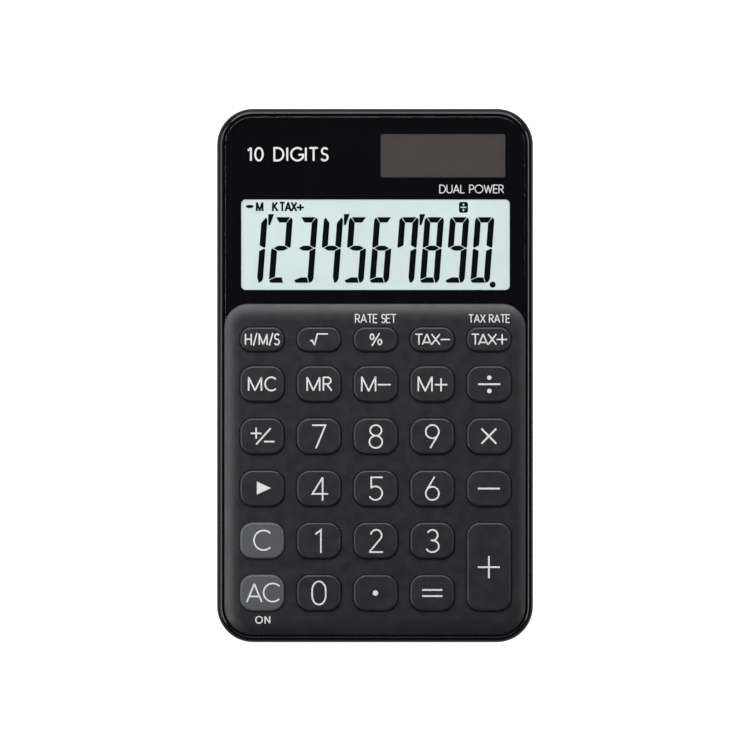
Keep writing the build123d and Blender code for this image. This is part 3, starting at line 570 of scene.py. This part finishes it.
# Legends as pen strokes round each key's middle, in millimetres: pen width, paths, then
# any dots as x, y and radius.
SMALL, FIGURE, SIGN = 0.3, 0.35, 0.38
TAX = 2.26  # height of the letters on the two tax keys
M_WIDE, M_TALL = 2.9, 3.15  # heights of the M with a letter after it and with a sign
LEGENDS = {
    "key_hours_minutes_seconds": (
        SMALL,
        upright_bar(-3.67, -1.17, 1.17) + upright_bar(-2.39, -1.17, 1.17)
        + level_bar(-3.67, -2.39, 0.03)
        + [[(-1.91, -1.35), (-1.15, 1.35)], [(1.59, -1.35), (2.37, 1.35)],
           [(-0.63, -1.17), (-0.63, 1.17), (0.25, -1.17), (1.13, 1.17), (1.13, -1.17)],
           arc(3.31, 0.58, 0.5, 0.59, 35, 245) + arc(3.27, -0.58, 0.55, 0.59, 62, -150)],
    ),
    "key_square_root": (SMALL, [[(-1.82, -0.38), (-1.47, -0.18), (-0.95, -1.3),
                                 (-0.32, 1.19), (1.98, 1.19)]]),
    "key_percent": (SMALL, [loop(-0.755, 0.56, 0.4, 0.58), loop(0.97, -0.61, 0.4, 0.55),
                            [(-0.75, -1.41), (0.86, 1.3)]]),
    "key_tax_minus": (SMALL, letter_t(-3.69, -2.15, TAX) + capital_a(-2.15, -0.2, TAX)
                      + crossed(-0.09, 1.67, TAX) + level_bar(1.93, 3.87, -0.04)),
    "key_tax_plus": (SMALL, letter_t(-3.78, -2.21, TAX) + capital_a(-2.25, -0.28, TAX)
                     + crossed(-0.13, 1.62, TAX) + level_bar(1.77, 4.0, -0.04)
                     + upright_bar(2.94, -1.1, 1.1)),
    "key_memory_clear": (FIGURE, capital_m(-2.96, -0.14, M_WIDE)
                         + [arc(2.05, 0, 1.38, 1.48, 46, 314)]),
    "key_memory_recall": (FIGURE, capital_m(-2.56, 0.2, M_WIDE)
                          + [[(1.03, -1.45), (1.03, 1.45)],
                             [(1.03, 1.45)] + arc(1.93, 0.72, 0.75, 0.73, 90, -90)
                             + [(1.03, -0.01)],
                             [(1.8, -0.05), (2.83, -1.45)]]),
    "key_memory_minus": (FIGURE, capital_m(-3.02, 0.02, M_TALL) + level_bar(0.59, 3.34, -0.17)),
    "key_memory_plus": (FIGURE, capital_m(-3.06, -0.05, M_TALL) + level_bar(0.65, 3.3, -0.17)
                        + upright_bar(1.97, -1.59, 1.16)),
    "key_divide": (SIGN, level_bar(-2.3, 2.45, -0.07), (0.1, 1.38, 0.5), (0.1, -1.57, 0.5)),
    "key_change_sign": (FIGURE, [[(-1.27, -1.8), (1.88, 1.72)]] + level_bar(-2.48, -0.2, 0.61)
                        + upright_bar(-1.31, -0.52, 1.82) + level_bar(0.5, 2.7, -1.2)),
    "key_multiply": (SIGN, crossed(-1.6, 1.6, 3.26)),
    "key_minus": (SIGN, level_bar(-2.38, 2.38, -0.04)),
    "key_plus": (SIGN, level_bar(-2.38, 2.38, -0.1) + upright_bar(0, -2.5, 2.3)),
    "key_equals": (SIGN, level_bar(-2.16, 2.2, 0.64) + level_bar(-2.16, 2.2, -0.72)),
    "key_decimal_point": (SIGN, [], (0, -0.05, 0.6)),
    "key_clear": (FIGURE, [arc(0.34, 0.08, 2.12, 2.17, 47, 313)]),
    "key_all_clear": (FIGURE, capital_a(-3.35, -0.08, 4.0, 0.3)
                      + [arc(2.35, 0.06, 2.02, 2.02, 46, 314)]),
    "key_0": (FIGURE, [arc(0.04, 0.5, 1.5, 2.02, 0, 180) + arc(0.04, -0.58, 1.5, 2.02, 180, 360)
                       + [(1.54, 0.5)]]),
    "key_1": (FIGURE, [[(-0.72, 1.45), (0.47, 2.34), (0.47, -2.68)]]),
    "key_2": (FIGURE, [arc(0.17, 1.17, 1.21, 1.21, 168, -40) + [(-1.36, -2.54), (1.6, -2.54)]]),
    "key_3": (FIGURE, [arc(0.06, 1.205, 1.17, 1.165, 151, -90) + [(-0.25, 0.04)],
                       [(-0.1, 0.04)] + arc(0.03, -1.25, 1.45, 1.29, 90, -153)]),
    "key_4": (FIGURE, [[(0.85, -2.68), (0.85, 2.42)], [(0.85, 2.42), (-1.4, -1.22), (2.0, -1.22)]]),
    "key_5": (FIGURE, [[(1.55, 2.44), (-0.93, 2.44), (-0.93, 0.1)],
                       arc(0, -1.06, 1.5, 1.5, 130, -150)]),
    "key_6": (FIGURE, [loop(0.04, -1.12, 1.46, 1.46), [(0.5, 2.55), (-1.22, -0.39)]]),
    "key_7": (FIGURE, [[(-1.36, 2.42), (1.5, 2.42), (-0.6, -2.66)]]),
    "key_8": (FIGURE, [loop(0.08, 1.26, 1.25, 1.18), loop(0.08, -1.265, 1.42, 1.345)]),
    "key_9": (FIGURE, [loop(0.04, 1.0, 1.46, 1.46), [(1.295, 0.255), (-0.4, -2.6)]]),
}


def legend(key):
    """Print a key's legend on its face."""
    pen, paths, *dots = LEGENDS[key]
    x, y = middle(key)

    def build(bm):
        for number, path in enumerate(paths):
            top = KEY_FACE + INK_LIFT + STEP * number
            stroke(bm, [(x + px, y + py) for px, py in path], pen, KEY_FACE - INK_ROOT, top)
        for px, py, radius in dots:
            disc(bm, (x + px, y + py), radius, KEY_FACE - INK_ROOT, KEY_FACE + INK_LIFT)

    new_piece(f"legend_{key[4:]}", build, white_ink, key)


def arrow_legend(bm):
    """The solid triangle of the backspace key."""
    x, y = middle("key_backspace")
    outline = [(x - 1.15, y - 1.36), (x + 1.97, y + 0.07), (x - 1.15, y + 1.5)]
    slab(bm, outline, KEY_FACE - INK_ROOT, KEY_FACE + INK_LIFT)


for key in LEGENDS:
    legend(key)
new_piece("legend_backspace", arrow_legend, white_ink, "key_backspace")

# Words printed on the keypad panel and on the window.
PANEL_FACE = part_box("keypad_panel")[1].z / MM
WINDOW_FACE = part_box("display_window")[1].z / MM


def printed(name, text, centre, height, pen, face, tracking, squeeze=1.0):
    """Print a word on a flat face of the case."""
    faces = (face - INK_ROOT, face + INK_LIFT)

    def build(bm):
        lettering(bm, text, centre, height, pen, *faces, tracking, squeeze)

    new_piece(name, build, white_ink, "case")


def beside(key, x, y):
    """A spot beside a key's middle."""
    spot = middle(key)
    return (spot[0] + x, spot[1] + y)


ON_SPOT = beside("key_all_clear", 0.15, -6.0)
RATE_SPOT = beside("key_percent", 0.05, 4.6)
TAX_SPOT = beside("key_tax_plus", 0.1, 4.6)
# Name, words, middle, height, pen, face, tracking, and how far the letters are squeezed.
LABELS = (
    ("label_on", "ON", ON_SPOT, 1.75, 0.27, PANEL_FACE, 0.34),
    ("label_rate_set", "RATE SET", RATE_SPOT, 2.05, 0.23, PANEL_FACE, 0.12, 0.91),
    ("label_tax_rate", "TAX RATE", TAX_SPOT, 1.95, 0.23, PANEL_FACE, 0.12, 0.9),
    ("label_digits", "10 DIGITS", (-19.3, 49.0), 3.2, 0.42, WINDOW_FACE, 0.27),
    ("label_power", "DUAL POWER", (21.4, 41.3), 1.95, 0.2, WINDOW_FACE, 0.16),
)
for label in LABELS:
    printed(*label)


# ---------------------------------------------------------------- display contents
DIGIT_WIDTH = 4.28
DIGIT_HEIGHT = 14.55
DIGIT_PITCH = 5.585
UPRIGHT = 1.33  # width of an upright bar
LEVEL = 1.2  # and of a level one
WAIST = DIGIT_HEIGHT / 2 + 0.4  # height of the middle bar
SLANT = math.tan(math.radians(4.3))
LAST_DIGIT = (23.8, 20.53)  # middle of the last figure's foot
SHOWN = "1234567890"
TICK_PLACES = (0, 3, 6)
TICK = [(2.82, 35.75), (4.1, 35.75), (3.2, 33.2), (2.8, 33.4)]  # x from its figure's middle
POINT, POINT_RADIUS = (26.08, 20.11), 0.68
SEGMENT_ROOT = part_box("lcd_front_polarizer")[1].z / MM - 0.002
SEGMENT_TOP = SEGMENT_ROOT + 0.02


def segments():
    """The seven bars of a figure in its own upright frame."""
    w, h, t, s, m = DIGIT_WIDTH, DIGIT_HEIGHT, UPRIGHT, LEVEL, WAIST
    left_upper = [
        (0.0, m + 0.35), (0.12, m + 0.12), (0.32, m + 0.1), (t, m + 0.62), (t, h - s - 0.1),
        (0.42, h - 0.12), (0.22, h - 0.22), (0.0, h - 0.7),
    ]
    left_lower = [
        (0.0, 0.72), (t, s + 0.1), (t, m - 0.62), (0.32, m - 0.1), (0.12, m - 0.12),
        (0.0, m - 0.35),
    ]
    right_upper = [(w - x, y) for x, y in left_upper]
    right_lower = [
        (w, m - 0.35), (w - 0.12, m - 0.12), (w - 0.32, m - 0.1), (w - t, m - 0.62),
        (w - t, s + 0.05), (w - 0.92, 0.0), (w - 0.6, 0.05), (w - 0.25, 0.35), (w, 0.95),
    ]
    top = [(0.55, h - 0.014), (w - 0.55, h - 0.014), (w - t - 0.02, h - s), (t + 0.02, h - s)]
    bottom = [
        (0.06, 0.56), (0.2, 0.2), (0.55, 0.0), (w - 1.06, 0.0), (w - t - 0.14, s), (t + 0.12, s),
        (0.75, 0.9),
    ]
    middle_bar = [
        (0.5, m), (t + 0.05, m + 0.5), (t + 0.45, m + 0.55), (w - t - 0.45, m + 0.55),
        (w - t - 0.05, m + 0.5), (w - 0.5, m), (w - t - 0.05, m - 0.5), (w - t - 0.45, m - 0.55),
        (t + 0.45, m - 0.55), (t + 0.05, m - 0.5),
    ]
    return {
        "a": top, "b": right_upper, "c": right_lower, "d": bottom,
        "e": left_lower, "f": left_upper, "g": middle_bar,
    }


LIT = {
    "0": "abcdef", "1": "bc", "2": "abged", "3": "abgcd", "4": "fgbc",
    "5": "afgcd", "6": "afgcde", "7": "fabc", "8": "abcdefg", "9": "abcdfg",
}


def slanted(outline, x, y):
    """Lean an outline to the right and put it in place."""
    return [(x + px + (py - DIGIT_HEIGHT / 2) * SLANT, y + py) for px, py in outline]


def figures(bm):
    """The figures, the ticks between thousands and the decimal point."""
    shapes = segments()
    for place, figure in enumerate(SHOWN):
        x = LAST_DIGIT[0] - DIGIT_WIDTH / 2 - (len(SHOWN) - 1 - place) * DIGIT_PITCH
        for letter in LIT[figure]:
            slab(bm, slanted(shapes[letter], x, LAST_DIGIT[1]), SEGMENT_ROOT, SEGMENT_TOP)
    for place in TICK_PLACES:
        x = LAST_DIGIT[0] - (len(SHOWN) - 1 - place) * DIGIT_PITCH
        slab(bm, [(x + px, y) for px, y in TICK], SEGMENT_ROOT, SEGMENT_TOP)
    disc(bm, POINT, POINT_RADIUS, SEGMENT_ROOT, SEGMENT_TOP)


INDICATOR_HEIGHT = 2.25
INDICATOR_PEN = 0.43
INDICATOR_Y = 37.38
INDICATORS = (  # letter, middle and width
    ("M", -25.56, 1.75),
    ("K", -22.12, 1.4),
    ("T", -20.55, 1.35),
    ("A", -19.25, 1.6),
    ("X", -17.95, 1.5),
    ("+", -16.55, 1.9),
)
MINUS = (-27.76, 37.44, 0.875, 0.37)  # an oval: middle and radii


def indicators(bm):
    """The minus sign and the letters along the display's upper edge."""
    slab(bm, ellipse(*MINUS), SEGMENT_ROOT, SEGMENT_TOP)
    for text, x, width in INDICATORS:
        squeeze = (width - INDICATOR_PEN) / (GLYPHS[text][0] * (INDICATOR_HEIGHT - INDICATOR_PEN))
        spot = (x, INDICATOR_Y)
        lettering(
            bm, text, spot, INDICATOR_HEIGHT, INDICATOR_PEN, SEGMENT_ROOT, SEGMENT_TOP, 0, squeeze
        )


BOX_SPOT = (19.6, 37.25)
BOX_WIDE, BOX_TALL, BOX_CORNER = 1.0, 1.2, 0.3  # half sizes, and the cut at each corner
SIGN_REACH = 0.62  # to the ends of the clear bar and to the dots
SIGN_BAR, SIGN_DOT = 0.12, 0.2  # half width and radius


def boxed_sign(bm):
    """A divide sign left clear in a dark rounded box."""
    x, y = BOX_SPOT
    for side in (-1, 1):
        far, near = y + side * BOX_TALL, y + side * SIGN_BAR
        # the half box in two pieces round its dot
        for way in (-1, 1):
            edge = x + way * BOX_WIDE
            half = [(edge, near), (edge, far - side * BOX_CORNER), (edge - way * BOX_CORNER, far)]
            near_side = -90 * side if way > 0 else 270 * side
            ring = arc(x, y + side * SIGN_REACH, SIGN_DOT, SIGN_DOT, 90 * side, near_side, 8)
            slab(bm, [(x, near)] + half + [(x, far)] + ring, SEGMENT_ROOT, SEGMENT_TOP)
    for way in (-1, 1):
        inner, outer = x + way * SIGN_REACH, x + way * BOX_WIDE
        low, high = y - SIGN_BAR, y + SIGN_BAR
        post = [(inner, low), (outer, low), (outer, high), (inner, high)]
        slab(bm, post, SEGMENT_ROOT, SEGMENT_TOP)


new_piece("display_boxed_sign", boxed_sign, segment_ink, "case")
new_piece("display_figures", figures, segment_ink, "case")
new_piece("display_indicators", indicators, segment_ink, "case")


# ---------------------------------------------------------------- key mat
# The pills ride on the keys and go down with them; the domes stand on the case.
KEYS = sorted(name for name in nodes if name.startswith("key_") and name != "key_mat")
MAT_LOW, MAT_HIGH = (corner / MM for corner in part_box("key_mat"))
PILL_LOW, PILL_HIGH = (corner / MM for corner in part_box("contact_pills"))
SHEET_TOP = MAT_LOW.z + 0.6  # the flat sheet between the domes
COLUMN_PITCH = middle("key_8")[0] - middle("key_7")[0]
ROW_PITCH = middle("key_7")[1] - middle("key_4")[1]
DOME_SHOULDER = 0.6
DOME_RADII = (2.9, 1.6)  # at the sheet and at the top
ROOM_RADII = (2.15, 1.4)  # inside them
PILL_RADIUS = 1.2
PILL_GAP = 0.03  # left over the board under a pressed key
SHEET_HOLE = 2.3
SCREW_HOLE = 2.1
SHEET_CORNER = 5.0
SHEET_CORNER_STEPS = 8
LATHE_STEPS = 28


def lathe(bm, centre, profile):
    """Turn a profile of radius and height, from the axis to the axis, round a centre."""
    rings = []
    for radius, height in profile:
        spots = [centre] if radius == 0 else arc(*centre, radius, radius, 0, 360, LATHE_STEPS)[:-1]
        rings.append([bm.verts.new((x * MM, y * MM, height * MM)) for x, y in spots])
    for ring, following in zip(rings, rings[1:]):
        for i in range(LATHE_STEPS):
            j = (i + 1) % LATHE_STEPS
            corners = [ring[k % len(ring)] for k in (i, j)]
            corners += [following[k % len(following)] for k in (j, i)]
            bm.faces.new(list(dict.fromkeys(corners)))
    bmesh.ops.recalc_face_normals(bm, faces=bm.faces)


def pierced(bm, outlines, bottom, top):
    """A flat plate from its outline and the outlines of its holes."""
    for height in (bottom, top):
        edges = []
        for outline in outlines:
            ring = [bm.verts.new((x * MM, y * MM, height * MM)) for x, y in outline]
            edges += [bm.edges.new(pair) for pair in zip(ring, ring[1:] + ring[:1])]
        bmesh.ops.triangle_fill(bm, use_beauty=True, edges=edges)
    bm.verts.index_update()
    verts = list(bm.verts)
    low, high = verts[: len(verts) // 2], verts[len(verts) // 2 :]
    first = 0
    for outline in outlines:
        for i in range(len(outline)):
            a, b = first + i, first + (i + 1) % len(outline)
            bm.faces.new((low[a], low[b], high[b], high[a]))
        first += len(outline)
    bmesh.ops.recalc_face_normals(bm, faces=bm.faces)


def dome_spots(key):
    """Where the domes under a key stand."""
    x, y = middle(key)
    return [(x, y + ROW_PITCH / 2), (x, y - ROW_PITCH / 2)] if key == "key_plus" else [(x, y)]


def mat_sheet(bm):
    """The flat sheet, open under each dome and round each screw's post."""
    r = SHEET_CORNER
    outline = (
        [(MAT_HIGH.x, MAT_HIGH.y), (MAT_LOW.x, MAT_HIGH.y)]
        + arc(MAT_LOW.x + r, MAT_LOW.y + r, r, r, 180, 270, SHEET_CORNER_STEPS)
        + arc(MAT_HIGH.x - r, MAT_LOW.y + r, r, r, 270, 360, SHEET_CORNER_STEPS)
    )
    rows = [middle(name)[1] for name in ("key_divide", "key_7", "key_4", "key_1", "key_0")]
    x = middle("key_8")[0]
    screws = [
        (x + side * step * COLUMN_PITCH, (rows[row] + rows[row + 1]) / 2)
        for step, row in ((1.5, 0), (1.5, 2), (0.5, 3))
        for side in (-1, 1)
    ]
    holes = [circle(spot, SHEET_HOLE) for key in KEYS for spot in dome_spots(key)]
    holes += [circle(spot, SCREW_HOLE) for spot in screws]
    pierced(bm, [outline] + holes, MAT_LOW.z, SHEET_TOP)


DOME_PROFILE = [
    (0, MAT_HIGH.z),
    (DOME_RADII[1], MAT_HIGH.z),
    (DOME_RADII[1], SHEET_TOP + DOME_SHOULDER),
    (DOME_RADII[0], SHEET_TOP),
    (ROOM_RADII[0], SHEET_TOP),
    (ROOM_RADII[1], PILL_HIGH.z),
    (0, PILL_HIGH.z),
]
mat = new_piece("mat_sheet", mat_sheet, looks["silicone"].material, "case")
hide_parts("key_mat")
for key in KEYS:
    for number, spot in enumerate(dome_spots(key)):
        mark = key[4:] + "_lower" * number
        dome = new_piece(
            f"dome_{mark}",
            lambda bm: lathe(bm, spot, DOME_PROFILE),
            looks["silicone"].material,
            "case",
        )
        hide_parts("key_mat")
        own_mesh(dome)
        pill = new_piece(
            f"pill_{mark}",
            lambda bm: disc(bm, spot, PILL_RADIUS, PILL_LOW.z + PILL_GAP, PILL_HIGH.z),
            looks["carbon_rubber"].material,
            key,
        )
        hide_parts("contact_pills")


# ---------------------------------------------------------------- studio
FLOOR_HALF = 3.0
FLOOR_GAP = 0.0002  # under the object
FLOOR_GLOW = 0.95  # added for the camera alone
AIM_HEIGHT = 0.005
AIM = Vector((0.0, 0.0, AIM_HEIGHT))
# Softboxes: azimuth, the two tilts off the vertical between which it stands, width,
# distance and radiance.
SOFTBOXES = {
    "top_light": (90, (22, 46), 0.62, 0.55, 4.9),
    "top_low_light": (90, (48, 68), 0.55, 0.6, 2.6),
    "left_light": (180, (22, 46), 0.55, 0.6, 3.3),
    "left_low_light": (180, (50, 68), 0.5, 0.6, 1.4),
    "right_strip": (0, (36, 43), 0.5, 0.7, 5.0),
}
HORIZON, HORIZON_GLOW = 0.05, 0.14  # height and strength of the surroundings, low down
OVERHEAD, OVERHEAD_GLOW = 0.7, 0.02  # and from there up
BACKDROP_GLOW = 1.02  # behind the object, for the camera alone
FIELD = 0.1662  # metres across the picture at the object's mid height
DISTANCE = 2.4
SENSOR = 36.0
NUDGE = 0.0001  # keeps the camera off the exact vertical


def stage_floor():
    """Pale light table: bright to the camera, mid grey in reflections."""
    bm = bmesh.new()
    bmesh.ops.create_grid(bm, x_segments=8, y_segments=8, size=FLOOR_HALF)
    mesh = bpy.data.meshes.new("floor")
    bm.to_mesh(mesh)
    bm.free()
    floor = bpy.data.objects.new("floor", mesh)
    floor.location.z = cad_box[0][2] - FLOOR_GAP
    scene.collection.objects.link(floor)
    look = Look("floor_paper", (0.5, 0.5, 0.5), 0.9)
    clouds = look.spread(look.noise(3.0, 4.0), 0, 1)
    look.colour(look.blend(clouds, (0.49, 0.49, 0.49), (0.51, 0.51, 0.51)))
    look.shader.inputs["Emission Color"].default_value = (1, 1, 1, 1)
    path = look.tree.nodes.new("ShaderNodeLightPath")
    glow = look.spread(path.outputs["Is Camera Ray"], 0.0, FLOOR_GLOW, 0, 1)
    look.link(glow, look.shader.inputs["Emission Strength"])
    mesh.materials.append(look.material)


def softbox(name, azimuth, tilts, width, distance, radiance):
    """A rectangular light between two angles off the vertical, facing the object."""
    tilt = math.radians(sum(tilts) / 2)
    spread = math.radians(tilts[1] - tilts[0])
    height = 2 * distance * math.tan(spread / 2)
    light = bpy.data.lights.new(name, "AREA")
    light.shape = "RECTANGLE"
    light.size = width
    light.size_y = height
    light.energy = radiance * math.pi * width * height
    lamp = bpy.data.objects.new(name, light)
    turn = math.radians(azimuth)
    way = Vector((math.cos(turn) * math.sin(tilt), math.sin(turn) * math.sin(tilt), math.cos(tilt)))
    lamp.location = AIM + way * distance
    lamp.rotation_euler = (-way).to_track_quat("-Z", "Y").to_euler()
    scene.collection.objects.link(lamp)


def surroundings():
    """White to the camera, and to the object a glow that fades from the horizon up."""
    world = bpy.data.worlds.new("studio")
    world.use_nodes = True
    sky = world.node_tree
    direction = sky.nodes.new("ShaderNodeTexCoord")
    parts = sky.nodes.new("ShaderNodeSeparateXYZ")
    ramp = sky.nodes.new("ShaderNodeMapRange")
    ramp.inputs["From Min"].default_value = HORIZON
    ramp.inputs["From Max"].default_value = OVERHEAD
    ramp.inputs["To Min"].default_value = HORIZON_GLOW
    ramp.inputs["To Max"].default_value = OVERHEAD_GLOW
    path = sky.nodes.new("ShaderNodeLightPath")
    pick = sky.nodes.new("ShaderNodeMix")
    sky.links.new(direction.outputs["Generated"], parts.inputs["Vector"])
    sky.links.new(parts.outputs["Z"], ramp.inputs["Value"])
    sky.links.new(path.outputs["Is Camera Ray"], pick.inputs["Factor"])
    sky.links.new(ramp.outputs["Result"], pick.inputs["A"])
    pick.inputs["B"].default_value = BACKDROP_GLOW
    sky.links.new(pick.outputs["Result"], sky.nodes["Background"].inputs["Strength"])
    sky.nodes["Background"].inputs["Color"].default_value = (1, 1, 1, 1)
    scene.world = world
    scene.view_settings.view_transform = "Standard"


def overhead_camera():
    """A long lens straight above the object."""
    data = bpy.data.cameras.new("camera")
    data.sensor_width = SENSOR
    data.lens = SENSOR * DISTANCE / FIELD
    data.clip_end = 20.0
    camera = bpy.data.objects.new("camera", data)
    camera.location = (0.0, NUDGE, DISTANCE + AIM_HEIGHT)
    scene.collection.objects.link(camera)
    scene.camera = camera


stage_floor()
for name, place in SOFTBOXES.items():
    softbox(name, *place)
surroundings()
overhead_camera()
